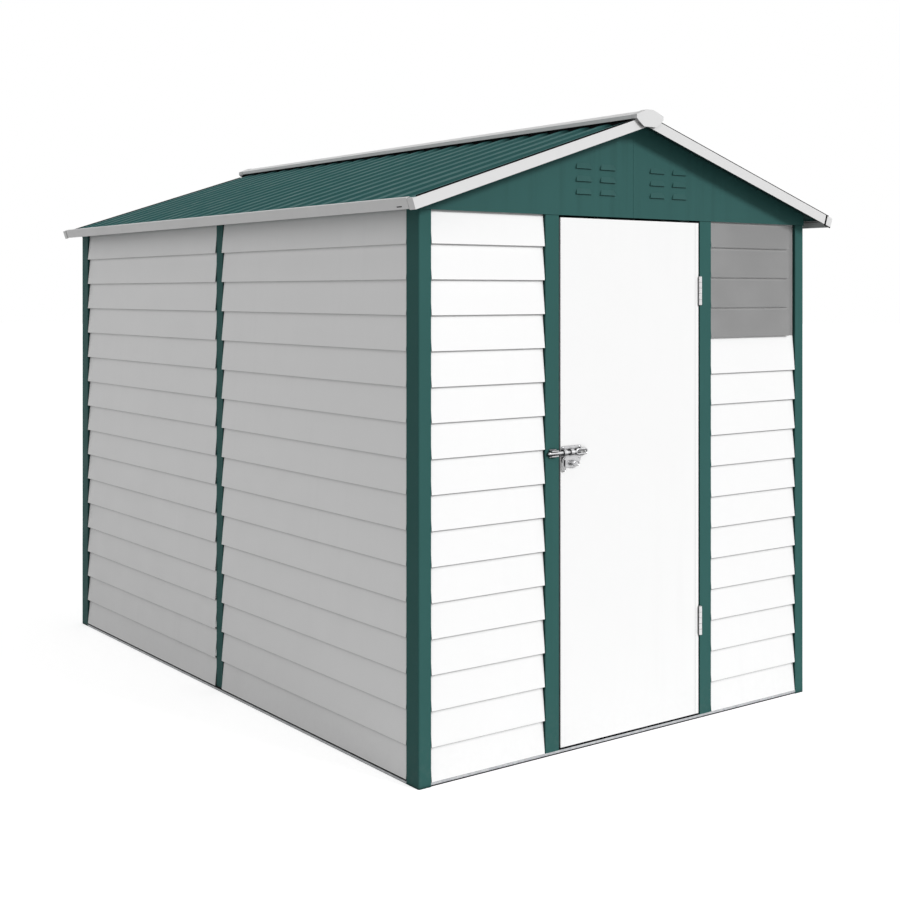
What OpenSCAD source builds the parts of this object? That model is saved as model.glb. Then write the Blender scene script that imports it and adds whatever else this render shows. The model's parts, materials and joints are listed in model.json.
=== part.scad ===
// Metal garden shed with lapped steel siding, a ribbed gable roof and one hinged door.
// Units are millimetres. X runs along the front, the front faces -Y and Z is up.
// The origin is on the ground at the middle of the plan.

/* [Overall] */
// Width over the corner posts
shed_w = 1616; // [1500:2:1900]
// Depth over the corner posts
shed_d = 2430; // [1800:10:3200]
// Height of the walls
wall_h = 1606; // [1500:2:1900]

/* [Siding] */
// Height of one lapped board
lap_pitch = 100; // [80:1:130]
// How far the bottom edge of a board stands out past its top edge
lap_depth = 10; // [6:0.5:14]
// Gap between the end of the siding and the web of a post
siding_gap = 2.5; // [1:0.5:4]
// Height of the lowest lap line above the ground
lap_first = 109; // [80:1:140]
// Least height of a cut board at the top of a panel
lap_rest = 40; // [30:1:60]
// Thickness of the siding sheet
sheet_t = 2; // [1:0.5:3]
// Open gap between the base rail and the bottom edge of the siding
siding_lift = 0.5; // [0.2:0.1:4]

/* [Posts] */
// Thickness of the folded posts and rails
post_t = 2; // [1.5:0.5:3]
// Width of a corner post on the front and back walls
corner_front_w = 42; // [36:1:60]
// Width of a corner post on the side walls
corner_side_w = 60; // [40:1:80]
// Radius of the outer edge of a corner post
corner_r = 5; // [3:0.5:12]
// Width of a post between two bays of a side or back wall
mid_post_w = 45; // [30:1:70]
// How far the face of a post between two bays lies behind the faces of the boards
mid_post_set = 5; // [2:0.5:6]
// How far the side posts stand in front of the middle of the side walls
post_shift = 14; // [0:1:80]
// Width of the flange that carries the siding from behind
post_flange = 16; // [10:1:24]
// Width of a door jamb
jamb_w = 52; // [45:1:70]
// Depth of a door jamb behind the wall face
jamb_depth = 34; // [32:1:50]

/* [Rails] */
// Height of the base rail
rail_h = 12; // [8:1:16]
// Depth of the base rail
rail_d = 18; // [16:1:19]
// Depth of the recess along the front of a base rail
rail_step = 4; // [3:0.5:5]
// Height of the recessed foot of the front and back base rails
rail_foot = 5; // [4:0.5:6]
// Height of the recess under the siding of the side walls
rail_slot = 4.5; // [3:0.5:5]
// Height of the upstand behind the siding
rail_upstand = 48; // [20:1:60]
// Width of the top rails on the walls
top_rail_w = 40; // [30:1:60]
// Height of the front and back top rails
top_rail_h = 24; // [20:1:26]

/* [Door] */
// Width between the door jambs
door_open_w = 598; // [560:1:640]
// Clear gap around the door leaf
door_gap = 6; // [5:0.5:9]
// Clear gap above the door leaf
door_head_gap = 10; // [8:0.5:12]
// Thickness of the door leaf
door_t = 22; // [18:1:24]
// Thickness of the door skin and its folded edges
door_skin = 2; // [1.5:0.5:3]
// Width of the folded stiffeners inside the door
door_brace_w = 60; // [40:1:90]
// Depth of the folded stiffeners inside the door
door_brace_t = 12; // [8:1:15]
// Width of the door stop behind the leaf
stop_w = 14; // [12:1:20]

/* [Hinges] */
// Height of one hinge
hinge_h = 91; // [70:1:110]
// Height of the middle of the lower hinge
hinge_low_z = 317; // [250:1:400]
// Height of the middle of the upper hinge
hinge_high_z = 1378; // [1250:1:1450]
// Diameter of the hinge barrel
barrel_d = 11; // [10:0.5:12]
// Diameter of the hinge pin
pin_d = 5; // [4:0.25:6]
// Depth of a hinge leaf inside the gap beside the door
hinge_leaf_w = 20; // [14:1:22]
// Thickness of one hinge leaf
hinge_leaf_t = 2; // [1.5:0.25:2]
// Running clearance of the hinge pin and between the knuckles
hinge_play = 0.4; // [0.3:0.05:0.6]

/* [Latch] */
// Height of the bolt above the ground
bolt_z = 896; // [800:1:1000]
// Diameter of the bolt
bolt_d = 10; // [8:0.5:11]
// Length of the round bar of the bolt
bolt_l = 110; // [108:1:130]
// How far the bolt reaches past the edge of the door, which is also its travel
bolt_reach = 54; // [48:1:60]
// Length of the loop handle at the end of the bolt
loop_l = 48; // [40:1:60]
// Height of the loop handle
loop_h = 20; // [18:1:24]
// Thickness of the rod of the loop handle
loop_d = 6; // [5:0.5:7]
// Width of the latch plate
latch_w = 77; // [70:1:90]
// Height of the latch plate
latch_h = 64; // [60:1:70]
// Height of the wide upper part of the latch plate
latch_head_h = 42; // [40:1:46]
// Width of the foot of the latch plate
latch_foot_w = 38; // [34:1:50]
// Thickness of the latch plate
latch_t = 2.5; // [2:0.5:3]
// Height of the latch plate above the bolt
latch_above = 18; // [14:1:22]
// Distance from the edge of the door to the latch plate
latch_inset = 2; // [1:1:6]
// Clear space around the bolt in its guides and its keep
bolt_play = 1; // [0.6:0.1:1.5]
// Thickness of the guide loops and of the keep
guide_t = 3; // [2.5:0.5:4]
// Width of one guide loop along the bolt
guide_w = 12; // [10:1:14]
// Distance from the edge of the latch plate to the first guide loop
guide_inset = 2; // [1:0.5:4]
// Spacing of the two guide loops
guide_pitch = 27; // [20:1:28]
// Width of the keep along the bolt
keep_w = 26; // [20:1:30]
// Distance from the edge of the jamb to the keep
keep_inset = 12; // [6:1:20]
// Height of the plate of the keep
keep_plate_h = 24; // [20:1:40]
// Length of the padlock eye
eye_l = 27; // [24:1:32]
// Height of the padlock eye
eye_h = 16; // [14:0.5:20]
// Thickness of the rod of the padlock eye
eye_d = 4; // [3:0.5:4.5]
// How far the padlock eye stands out from the latch plate
eye_out = 12; // [9:1:16]
// Height of the padlock eye below the bolt
eye_drop = 34; // [30:1:38]
// Length of the hanging link
link_l = 44; // [36:1:50]
// Width of the hanging link
link_w = 14; // [12:1:16]
// Thickness of the wire of the hanging link
link_d = 3.5; // [3:0.5:4]
// Height of the lug of the hanging link below the bolt
link_drop = 19; // [16:1:20]
// How far the hanging link is pressed onto its lug
link_bite = 0.5; // [0.25:0.25:1]
// Diameter of the lug of the hanging link and of the post of the padlock eye
lug_d = 6; // [4:0.5:6]

/* [Window] */
// Height of the bottom of the window
window_z = 1226; // [1200:1:1300]
// Height of one lap of the window
window_pitch = 98; // [80:1:120]
// Width of the flat strip at the right of the window
window_strip = 31; // [20:1:50]

/* [Roof] */
// Slope of the roof
roof_angle = 18.15; // [16.5:0.05:19]
// Height of the roof surface above the walls, over the face of a side wall
roof_lift = 40.5; // [38:0.5:56]
// Distance from the wall to the outer edge of the eave trim
eave_overhang = 68; // [56:1:100]
// Distance from the front wall to the face of its gable trims
gable_overhang = 69; // [55:1:110]
// Distance from the back wall to the face of its gable trims
back_overhang = 34; // [30:1:110]
// Least flat width of a roof sheet beside its first and last rib
rib_edge = 5; // [2:1:30]
// Spacing of the roof ribs
rib_pitch = 100; // [80:1:130]
// Height of the roof ribs
rib_h = 6; // [4:0.5:9]
// Width of the flat top of a rib
rib_top = 38; // [30:1:44]
// Width of a sloping side of a rib
rib_flank = 11; // [8:1:14]
// Thickness of the roof sheet
roof_t = 2; // [1:0.5:3]
// Seating gap between the roof sheet and the frame below it
roof_play = 0.1; // [0.1:0.1:0.5]
// Gap between the two roof sheets at the ridge
ridge_gap = 6; // [4:1:12]

/* [Trims] */
// Thickness of the trims
trim_t = 2; // [1:0.5:3]
// Width of the face of a gable trim
trim_face = 30; // [27:1:42]
// Width of the face of an eave trim
eave_face = 27; // [24:1:40]
// How far the top of an eave trim stands above the roof ribs
eave_rise = 5; // [2:0.5:8]
// Width of the folded edges of a roof trim
trim_fold = 12; // [8:1:20]
// Length of a gable trim's end that is folded round onto the left eave
trim_wrap = 28; // [20:1:40]
// Length of the right eave trim's end that is folded round onto the gable
trim_return = 28; // [24:1:40]
// Gap between a folded end and the next trim
trim_gap = 5; // [3:1:8]
// Narrow seam between the front left folded end and the eave trim
trim_seam = 1.5; // [0.5:0.5:3]
// Half of the width of the ridge cap
cap_half = 54; // [45:1:80]
// Half of the flat top of the ridge cap
cap_flat = 13; // [8:1:20]
// Height of the lip at the edge of the ridge cap
cap_lip = 12; // [6:0.5:16]
// Height of the sloping top of the ridge cap above its lips
cap_rise = 15; // [10:0.5:20]
// Clear space between the roof ribs and the lip of the ridge cap
cap_gap = 8; // [4:0.5:12]
// How far the face of the ridge end piece stands out from the gable trims
cap_end_out = 11; // [6:1:16]
// How far the ridge end piece reaches back over the ridge cap
cap_end_back = 16; // [8:1:30]
// Half of the width of the ridge end piece where its sides turn in
cap_end_waist = 42; // [36:1:50]
// Half of the width of the bottom of the ridge end piece
cap_end_foot = 24; // [16:1:32]
// Height of the waist of the ridge end piece above its bottom
cap_end_chin = 11; // [8:1:16]

/* [Roof frame] */
// Width of the ridge beam
beam_w = 40; // [30:1:60]
// Height of the ridge beam
beam_h = 34; // [24:1:40]
// Width of a roof purlin
purlin_w = 40; // [30:1:50]
// Depth of a roof purlin
purlin_h = 24; // [18:1:30]

/* [Vents] */
// Width of one vent hood
vent_w = 64; // [50:1:70]
// Height of one vent hood
vent_h = 17; // [14:1:20]
// How far a vent hood stands out
vent_out = 5; // [4:0.5:7]
// How much narrower each end of a vent hood is at its top
vent_taper = 7; // [2:1:10]
// Thickness of a vent hood
vent_t = 1.5; // [1:0.25:2]
// Open height of one vent slot
vent_slot = 3.5; // [2:0.5:3.5]
// Spacing of the vent rows
vent_row = 38.5; // [34:0.5:45]
// Spacing of the two vent columns in a group
vent_col = 98; // [90:1:110]
// Distance from the middle of the gable to the middle of a vent group
vent_group = 154; // [140:1:180]
// How far the gable sheet hangs over the top of the wall
gable_lap = 3; // [2:0.5:4]
// Height of the middle row of vents above the wall
vent_rise = 101; // [90:1:110]

/* [Hidden] */
$fn = 48;
EPS = 0.01;
slope = tan(roof_angle);
half_w = shed_w / 2;
half_d = shed_d / 2;
seat = lap_depth + sheet_t;
siding_z = rail_h + siding_lift;
front_bay = half_w - corner_front_w - door_open_w / 2 - jamb_w;
side_bay_front = half_d - corner_side_w - mid_post_w / 2 - post_shift;
side_bay_back = side_bay_front + 2 * post_shift;
back_bay = (shed_w - 2 * corner_front_w - mid_post_w) / 2;
ridge_z = wall_h + roof_lift + slope * half_w;
roof_under_drop = (rib_h + roof_t) / cos(roof_angle);
eave_x = half_w + eave_overhang;
front_y = half_d + gable_overhang;
back_y = half_d + back_overhang;
leaf_w = door_open_w - 2 * door_gap;
leaf_z = rail_h + door_gap;
leaf_h = wall_h - door_head_gap - leaf_z;
hinge_x = door_open_w / 2 - door_gap / 2;
hinge_y = -half_d - barrel_d / 2;
latch_edge = -leaf_w / 2;
latch_face = -half_d - latch_t;
latch_x = latch_edge + latch_inset;
bolt_x = latch_edge - bolt_reach;
bolt_y = latch_face - bolt_play - bolt_d / 2;
frame_green = [0.16, 0.33, 0.31];
panel_white = [0.86, 0.86, 0.86];
trim_white = [0.80, 0.80, 0.80];
steel_grey = [0.62, 0.63, 0.64];

// Heights of the roof surface and of its underside at a distance from the ridge
function roof_top(x) = ridge_z - slope * abs(x);
function roof_under(x) = roof_top(x) - roof_under_drop;

// ---------- Placing things on a wall ----------
// On a wall, X runs to the right as seen from outside, Y runs inward from the outer face.
// The right side wall is the mirror image of the left one, so on both of them X runs to the front.
module on_front() { translate([0, -half_d, 0]) children(); }
module on_back() { rotate([0, 0, 180]) translate([0, -half_d, 0]) children(); }
module on_side(right) {
    mirror([right, 0, 0]) rotate([0, 0, -90]) translate([0, -half_w, 0]) children();
}

// ---------- Siding ----------
// Lap lines of a panel between two heights
function lap_lines(low, high, first, pitch) =
    [for (z = first, n = 0; z < high - lap_rest; n = n + 1, z = first + n * pitch) if (z > low) z];

// One sheet of lapped boards, pressed from a single sheet, with its left end at X = 0
module lapped_sheet(length, low, high, first, pitch) {
    lines = lap_lines(low, high, first, pitch);
    bottoms = concat([low], lines);
    tops = concat(lines, [high]);
    outer = [for (i = [0 : len(bottoms) - 1])
        for (p = [[0, bottoms[i]], [lap_depth * min(1, (tops[i] - bottoms[i]) / pitch), tops[i]]]) p];
    inner = [for (i = [0 : len(bottoms) - 1])
        for (p = [
            [sheet_t, bottoms[i] + (i == 0 ? 0 : sheet_t)],
            [sheet_t + lap_depth * min(1, (tops[i] - bottoms[i]) / pitch),
                tops[i] + (i == len(tops) - 1 ? 0 : sheet_t)]
        ]) p];
    back = [for (i = [len(inner) - 1 : -1 : 0]) inner[i]];
    rotate([90, 0, 90]) linear_extrude(length) polygon(concat(outer, back));
}

module siding(start, length, low, high) {
    color(panel_white) translate([start + siding_gap, 0, 0])
        lapped_sheet(length - 2 * siding_gap, low, high, lap_first, lap_pitch);
}

module siding_front_left() {
    on_front() siding(-half_w + corner_front_w, front_bay, siding_z, wall_h);
}
module siding_front_right() {
    on_front() siding(door_open_w / 2 + jamb_w, front_bay, siding_z, window_z);
}
module siding_side_front(right) {
    on_side(right) siding(post_shift + mid_post_w / 2, side_bay_front, siding_z, wall_h);
}
module siding_side_back(right) {
    on_side(right) siding(-half_d + corner_side_w, side_bay_back, siding_z, wall_h);
}
module siding_left_front() { siding_side_front(0); }
module siding_left_back() { siding_side_back(0); }
module siding_right_front() { siding_side_front(1); }
module siding_right_back() { siding_side_back(1); }
module siding_back_left() { on_back() siding(mid_post_w / 2, back_bay, siding_z, wall_h); }
module siding_back_right() {
    on_back() siding(-half_w + corner_front_w, back_bay, siding_z, wall_h);
}

// Clear window panel, lapped like the siding, with a flat strip along its right edge
module window_panel() {
    laps_w = front_bay - window_strip - siding_gap;
    color([0.55, 0.57, 0.58]) on_front() translate([door_open_w / 2 + jamb_w + siding_gap, 0, 0]) {
        lapped_sheet(laps_w, window_z, wall_h, window_z + window_pitch, window_pitch);
        translate([laps_w - EPS, seat - sheet_t, window_z])
            cube([window_strip - siding_gap + EPS, sheet_t, wall_h - window_z]);
    }
}

// ---------- Posts ----------
// Folded strip in plan, from one corner to the opposite corner
module plan_strip(x0, y0, x1, y1) { translate([x0, y0]) square([x1 - x0, y1 - y0]); }

// Post between two bays: a face behind the edges of the boards, two webs and two flanges
module mid_post() {
    color(frame_green) translate([0, 0, rail_h]) linear_extrude(wall_h - rail_h) {
        plan_strip(-mid_post_w / 2, mid_post_set, mid_post_w / 2, mid_post_set + post_t);
        for (side = [0, 1]) mirror([side, 0]) {
            plan_strip(mid_post_w / 2 - post_t, mid_post_set, mid_post_w / 2, seat + post_t);
            plan_strip(mid_post_w / 2 - post_t, seat, mid_post_w / 2 + post_flange, seat + post_t);
        }
    }
}
module side_post_left() { on_side(0) translate([post_shift, 0, 0]) mid_post(); }
module side_post_right() { on_side(1) translate([post_shift, 0, 0]) mid_post(); }
module back_post() { on_back() mid_post(); }

// Faces and webs of a corner post with its outer edge at the origin, rounded on the outside
module corner_faces() {
    difference() {
        intersection() {
            translate([corner_r, corner_r]) circle(corner_r);
            square(corner_r);
        }
        translate([corner_r, corner_r]) circle(corner_r - post_t);
    }
    plan_strip(corner_r, 0, corner_front_w, post_t);
    plan_strip(0, corner_r, post_t, corner_side_w);
    plan_strip(corner_front_w - post_t, 0, corner_front_w, seat + post_t);
    plan_strip(0, corner_side_w - post_t, seat + post_t, corner_side_w);
}
// Flanges of a corner post behind the siding
module corner_flanges() {
    plan_strip(corner_front_w - post_t, seat, corner_front_w + post_flange, seat + post_t);
    plan_strip(seat, corner_side_w - post_t, seat + post_t, corner_side_w + post_flange);
}
// The faces reach the ground, the flanges end on the base rails
module corner_post(right, back) {
    color(frame_green) mirror([right, 0, 0]) mirror([0, back, 0]) translate([-half_w, -half_d, 0]) {
        linear_extrude(wall_h) corner_faces();
        translate([0, 0, rail_h]) linear_extrude(wall_h - rail_h) corner_flanges();
    }
}
module corner_post_front_left() { corner_post(0, 0); }
module corner_post_front_right() { corner_post(1, 0); }
module corner_post_back_left() { corner_post(0, 1); }
module corner_post_back_right() { corner_post(1, 1); }

// Left door jamb: a face, a flange behind the siding, a deep return and a stop behind the door
module jamb_plan() {
    inner = -door_open_w / 2;
    outer = inner - jamb_w;
    plan_strip(outer, 0, inner, post_t);
    plan_strip(outer, 0, outer + post_t, seat + post_t);
    plan_strip(outer - post_flange, seat, outer + post_t, seat + post_t);
    plan_strip(inner - post_t, 0, inner, jamb_depth);
    plan_strip(inner - post_t, jamb_depth - post_t, inner + stop_w, jamb_depth);
}
module door_jamb(right) {
    color(frame_green) mirror([right, 0, 0]) on_front()
        translate([0, 0, rail_h]) linear_extrude(wall_h - rail_h) jamb_plan();
}
module door_jamb_left() { door_jamb(0); }
module door_jamb_right() { door_jamb(1); }

// ---------- Rails ----------
// Base rail: a hollow folded sill that the posts between the bays stand on, recessed between two heights
module base_rail(start, length, low, high) {
    color(steel_grey) translate([start, 0, 0]) rotate([90, 0, 90]) linear_extrude(length) difference() {
        square([rail_d, rail_h]);
        translate([-EPS, low]) square([rail_step + EPS, high - low]);
        translate([rail_step + post_t, post_t])
            square([rail_d - rail_step - 2 * post_t, rail_h - 2 * post_t]);
    }
}
// Upstand of a base rail behind one bay of siding, clear of the flanges of the posts
module base_upstand(start, length) {
    color(steel_grey) translate([start + post_flange, seat, rail_h - EPS])
        cube([length - 2 * post_flange, post_t, rail_upstand + EPS]);
}
module base_rail_front() {
    on_front() {
        base_rail(-half_w + corner_front_w, shed_w - 2 * corner_front_w, -EPS, rail_foot);
        base_upstand(-half_w + corner_front_w, front_bay);
        base_upstand(door_open_w / 2 + jamb_w, front_bay);
    }
}
module base_rail_back() {
    on_back() {
        base_rail(-half_w + corner_front_w, shed_w - 2 * corner_front_w, -EPS, rail_foot);
        base_upstand(-half_w + corner_front_w, back_bay);
        base_upstand(mid_post_w / 2, back_bay);
    }
}
module base_rail_side(right) {
    on_side(right) {
        base_rail(-half_d + corner_side_w, shed_d - 2 * corner_side_w, rail_h - rail_slot, rail_h + EPS);
        base_upstand(-half_d + corner_side_w, side_bay_back);
        base_upstand(post_shift + mid_post_w / 2, side_bay_front);
    }
}
module base_rail_left() { base_rail_side(0); }
module base_rail_right() { base_rail_side(1); }

// Top rails: angles that lie on the walls, with an upright leg for the gable or the roof
module angle_rail(length, leg, height) {
    color(frame_green) translate([-length / 2, 0, wall_h]) rotate([90, 0, 90])
        linear_extrude(length) {
            square([leg, post_t]);
            square([post_t, height]);
        }
}
module top_rail_front() { on_front() angle_rail(shed_w, top_rail_w, top_rail_h); }
module top_rail_back() { on_back() angle_rail(shed_w, top_rail_w, top_rail_h); }
module top_rail_side(right) {
    on_side(right) angle_rail(shed_d - 2 * top_rail_w, top_rail_w,
        roof_under(half_w) - roof_play - wall_h);
}
module top_rail_left() { top_rail_side(0); }
module top_rail_right() { top_rail_side(1); }

// ---------- Gables ----------
// Solid form of a vent hood with its lower edge at the origin: a wedge with slanted ends
module hood_form(wide, out, high, taper) {
    intersection() {
        translate([-wide / 2, 0, 0]) rotate([90, 0, 90]) linear_extrude(wide)
            polygon([[-out, 0], [0, 0], [0, high]]);
        rotate([90, 0, 0]) linear_extrude(out)
            polygon([[-wide / 2, 0], [wide / 2, 0], [wide / 2 - taper, high], [-wide / 2 + taper, high]]);
    }
}
// Hood of one vent, open underneath
module vent_hood() {
    shrink = 1 - vent_t / vent_out;
    difference() {
        hood_form(vent_w, vent_out, vent_h, vent_taper);
        translate([0, EPS, -EPS])
            hood_form(vent_w - 2 * vent_t, vent_out * shrink, vent_h * shrink, vent_taper * shrink);
    }
}
module at_vents() {
    for (side = [-1, 1], col = [-0.5, 0.5], row = [-1, 0, 1])
        translate([side * vent_group + col * vent_col, 0, wall_h + vent_rise + row * vent_row])
            children();
}
module gable() {
    foot_z = wall_h - gable_lap;
    color(frame_green) translate([0, -sheet_t, 0]) {
        difference() {
            translate([0, sheet_t, 0]) rotate([90, 0, 0]) linear_extrude(sheet_t)
                polygon([[-half_w, foot_z], [half_w, foot_z], [half_w, roof_under(half_w) - roof_play],
                    [0, roof_under(0) - roof_play], [-half_w, roof_under(half_w) - roof_play]]);
            at_vents() translate([-vent_w / 2 + vent_taper, -EPS, 0])
                cube([vent_w - 2 * vent_taper, sheet_t + 2 * EPS, vent_slot]);
        }
        at_vents() vent_hood();
    }
}
module gable_front() { on_front() gable(); }
module gable_back() { on_back() gable(); }

// ---------- Roof frame ----------
// Channel between the gables, open underneath, with the middle of its top at the origin
module channel(wide, high) {
    translate([0, half_d, -high]) rotate([90, 0, 0]) linear_extrude(shed_d) difference() {
        translate([-wide / 2, 0]) square([wide, high]);
        translate([-wide / 2 + post_t, -EPS]) square([wide - 2 * post_t, high - post_t]);
    }
}
// Ridge beam under the upper ends of the roof sheets
module ridge_beam() {
    color(frame_green) translate([0, 0, roof_under(beam_w / 2) - roof_play]) channel(beam_w, beam_h);
}
// One purlin under the middle of each slope
module roof_purlins() {
    color(frame_green) for (side = [0, 1]) mirror([side, 0, 0])
        translate([half_w / 2, 0, roof_under(half_w / 2) - roof_play]) rotate([0, roof_angle, 0])
            channel(purlin_w, purlin_h);
}

// ---------- Roof ----------
// Children are drawn on the right slope: X down the slope from the ridge, Z out of the roof surface
module on_slope() { translate([0, 0, ridge_z]) rotate([0, roof_angle, 0]) children(); }
slope_l = eave_x / cos(roof_angle);
sheet_l = slope_l - trim_t - 1;
sheet_front = -front_y + trim_t;
sheet_back = back_y - trim_t;
rib_half = rib_top / 2 + rib_flank;
rib_first = sheet_front + rib_edge + rib_half;
rib_count = floor((sheet_back - rib_edge - rib_half - rib_first) / rib_pitch) + 1;

// Half of one rib and the valley beside it, as heights of the underside across the sheet
rib_line = concat(
    [[sheet_front, 0]],
    [for (i = [0 : rib_count - 1], p = [
        [-rib_half, 0], [-rib_top / 2, rib_h], [rib_top / 2, rib_h], [rib_half, 0]
    ]) [rib_first + i * rib_pitch + p[0], p[1]]],
    [[sheet_back, 0]]
);
module roof_sheet(left) {
    under = [for (p = rib_line) [p[0], p[1] - rib_h - roof_t]];
    over = [for (i = [len(rib_line) - 1 : -1 : 0]) [rib_line[i][0], rib_line[i][1] - rib_h]];
    start = ridge_gap / 2;
    color(frame_green) mirror([left, 0, 0]) on_slope() translate([start, 0, 0])
        rotate([90, 0, 90]) linear_extrude(sheet_l - start) polygon(concat(under, over));
}
module roof_sheet_left() { roof_sheet(1); }
module roof_sheet_right() { roof_sheet(0); }

// ---------- Trims ----------
// Trim along the lower edge of the roof: a face square to the slope, a top fold and a fold under the sheet
module eave_channel(y0, y1, face, rise) {
    translate([slope_l, y1, 0]) rotate([90, 0, 0]) linear_extrude(y1 - y0) {
        translate([-trim_t, -face]) square([trim_t, face + rise]);
        translate([-trim_fold, rise - trim_t]) square([trim_fold, trim_t]);
        translate([-trim_fold, -rib_h - roof_t - roof_play - trim_t]) square([trim_fold, trim_t]);
    }
}
module eave_trim_left() {
    color(trim_white) mirror([1, 0, 0]) on_slope()
        eave_channel(-front_y + trim_wrap + trim_seam, back_y - trim_wrap - trim_gap, eave_face, eave_rise);
}
// Children are drawn with Y = 0 at the face of the gable trims and Y pointing in over the roof
module at_gable(back) translate([0, back ? back_y : -front_y, 0]) mirror([0, back, 0]) children();
// The ends of the right eave trim are folded round onto the gables
module eave_trim_right() {
    color(trim_white) {
        on_slope() eave_channel(-front_y, back_y, trim_face, trim_t);
        for (back = [0, 1]) at_gable(back) on_slope()
            translate([slope_l - trim_return, 0, -trim_face])
                cube([trim_return, trim_t, trim_face + trim_t]);
    }
}

// Trim along a sloping edge of the roof, up to the middle: a face and a fold under the roof sheet
module verge_trim(length, back) {
    // The front trims stand above the roof ribs, the back ones end level with the valleys
    top = back ? -rib_h : trim_t;
    difference() {
        on_slope() translate([-trim_face, 0, -trim_face]) {
            cube([length + trim_face, trim_t, trim_face + top]);
            translate([0, 0, trim_face - rib_h - roof_t - roof_play - trim_t])
                cube([length + trim_face - trim_t, trim_fold, trim_t]);
        }
        translate([-2 * trim_face, -EPS, ridge_z - 3 * trim_face])
            cube([2 * trim_face, 2 * trim_fold, 4 * trim_face]);
    }
}
// The lower end of a left gable trim is folded round onto the eave
module gable_trim_left(back) {
    color(trim_white) mirror([1, 0, 0]) at_gable(back) {
        verge_trim(slope_l, back);
        on_slope() eave_channel(0, trim_wrap, trim_face, trim_t);
    }
}
module gable_trim_right(back) {
    color(trim_white) at_gable(back) verge_trim(slope_l - trim_return - trim_gap, back);
}
module gable_trim_front_left() { gable_trim_left(0); }
module gable_trim_front_right() { gable_trim_right(0); }
module gable_trim_back_left() { gable_trim_left(1); }
module gable_trim_back_right() { gable_trim_right(1); }

// ---------- Ridge cap ----------
cap_edge_z = roof_top(cap_half) + cap_gap;
cap_shoulder_z = cap_edge_z + cap_lip;
cap_top_z = cap_shoulder_z + cap_rise;
function mirrored(points) = [for (i = [len(points) - 1 : -1 : 0]) [-points[i][0], points[i][1]]];
// Folded strip over the gap between the roof sheets: the right half of its outside, then of its inside
cap_outside = [[cap_flat, cap_top_z], [cap_half, cap_shoulder_z], [cap_half, cap_edge_z]];
cap_inside = [
    [cap_half - trim_t, cap_edge_z], [cap_half - trim_t, cap_shoulder_z - trim_t],
    [cap_flat, cap_top_z - trim_t]
];
module ridge_cap() {
    beyond = cap_end_out - trim_t;
    color(trim_white) translate([0, back_y + beyond, 0]) rotate([90, 0, 0])
        linear_extrude(front_y + back_y + 2 * beyond)
        polygon(concat(cap_outside, cap_inside, mirrored(cap_inside), mirrored(cap_outside)));
}
// Outline of an end piece, a margin larger than the ridge cap, down to the lower edge of the trims
cap_foot_z = ridge_z - trim_face / cos(roof_angle);
module cap_end_plan(margin) {
    right = [
        [cap_flat, cap_top_z + margin], [cap_half + margin, cap_shoulder_z],
        [cap_half + margin, cap_edge_z],
        [cap_end_waist + margin, cap_foot_z + cap_end_chin], [cap_end_foot + margin, cap_foot_z - margin]
    ];
    polygon(concat(right, mirrored(right)));
}
// Boxes that slip over the ends of the ridge cap and cover the meeting gable trims
module ridge_cap_ends() {
    verge_z = ridge_z + trim_t / cos(roof_angle) + roof_play;
    color(trim_white) for (back = [0, 1]) at_gable(back) difference() {
        translate([0, cap_end_back, 0]) rotate([90, 0, 0])
            linear_extrude(cap_end_out + cap_end_back) cap_end_plan(trim_t);
        translate([0, cap_end_back + EPS, 0]) rotate([90, 0, 0])
            linear_extrude(cap_end_out + cap_end_back - trim_t + EPS) cap_end_plan(0);
        // Room for the gable trims and the roof behind the faces of the trims
        translate([0, cap_end_back + 2 * EPS, 0]) rotate([90, 0, 0])
            linear_extrude(cap_end_back + 2 * EPS)
                polygon([[0, verge_z], [2 * cap_half, verge_z - 2 * cap_half * slope],
                    [0, verge_z - 4 * cap_half], [-2 * cap_half, verge_z - 2 * cap_half * slope]]);
    }
}

// ---------- Door ----------
// Door leaf: a skin with folded edges and three stiffeners inside, hinged at its right edge
module door_leaf() {
    color(panel_white) translate([-leaf_w / 2, -half_d, leaf_z]) {
        difference() {
            cube([leaf_w, door_t, leaf_h]);
            translate([door_skin, door_skin, door_skin])
                cube([leaf_w - 2 * door_skin, door_t, leaf_h - 2 * door_skin]);
        }
        for (z = [0, (leaf_h - door_brace_w) / 2, leaf_h - door_brace_w])
            translate([0, door_skin - EPS, z]) difference() {
                cube([leaf_w, door_brace_t, door_brace_w]);
                translate([door_skin, -EPS, door_skin])
                    cube([leaf_w - 2 * door_skin, door_brace_t - door_skin + EPS,
                        door_brace_w - 2 * door_skin]);
            }
    }
}

// ---------- Hinges ----------
knuckle_h = hinge_h / 5;
// Knuckle and leaf plate of one hinge, for the knuckles that belong to one side
module hinge_knuckles(first) {
    for (n = [first : 2 : 4]) {
        gap_low = n == 0 ? 0 : hinge_play;
        gap_high = n == 4 ? 0 : hinge_play;
        translate([0, 0, n * knuckle_h + gap_low])
            cylinder(d = barrel_d, h = knuckle_h - gap_low - gap_high);
    }
}
module at_hinges() {
    for (z = [hinge_low_z, hinge_high_z]) translate([hinge_x, hinge_y, z - hinge_h / 2]) children();
}
// Leaf from the barrel into the gap beside the door, against the face at this side of the gap
module hinge_leaf(side) {
    depth = barrel_d / 2 + hinge_leaf_w;
    translate([side > 0 ? door_gap / 2 - hinge_leaf_t : -door_gap / 2, 0, 0])
        cube([hinge_leaf_t, depth, hinge_h]);
}
// Room for the other side's knuckles
module knuckle_room(first) {
    room = barrel_d / 2 + hinge_play;
    for (n = [first : 2 : 4]) translate([-room, -room, n * knuckle_h - hinge_play])
        cube([2 * room, 2 * room, knuckle_h + 2 * hinge_play]);
}
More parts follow.
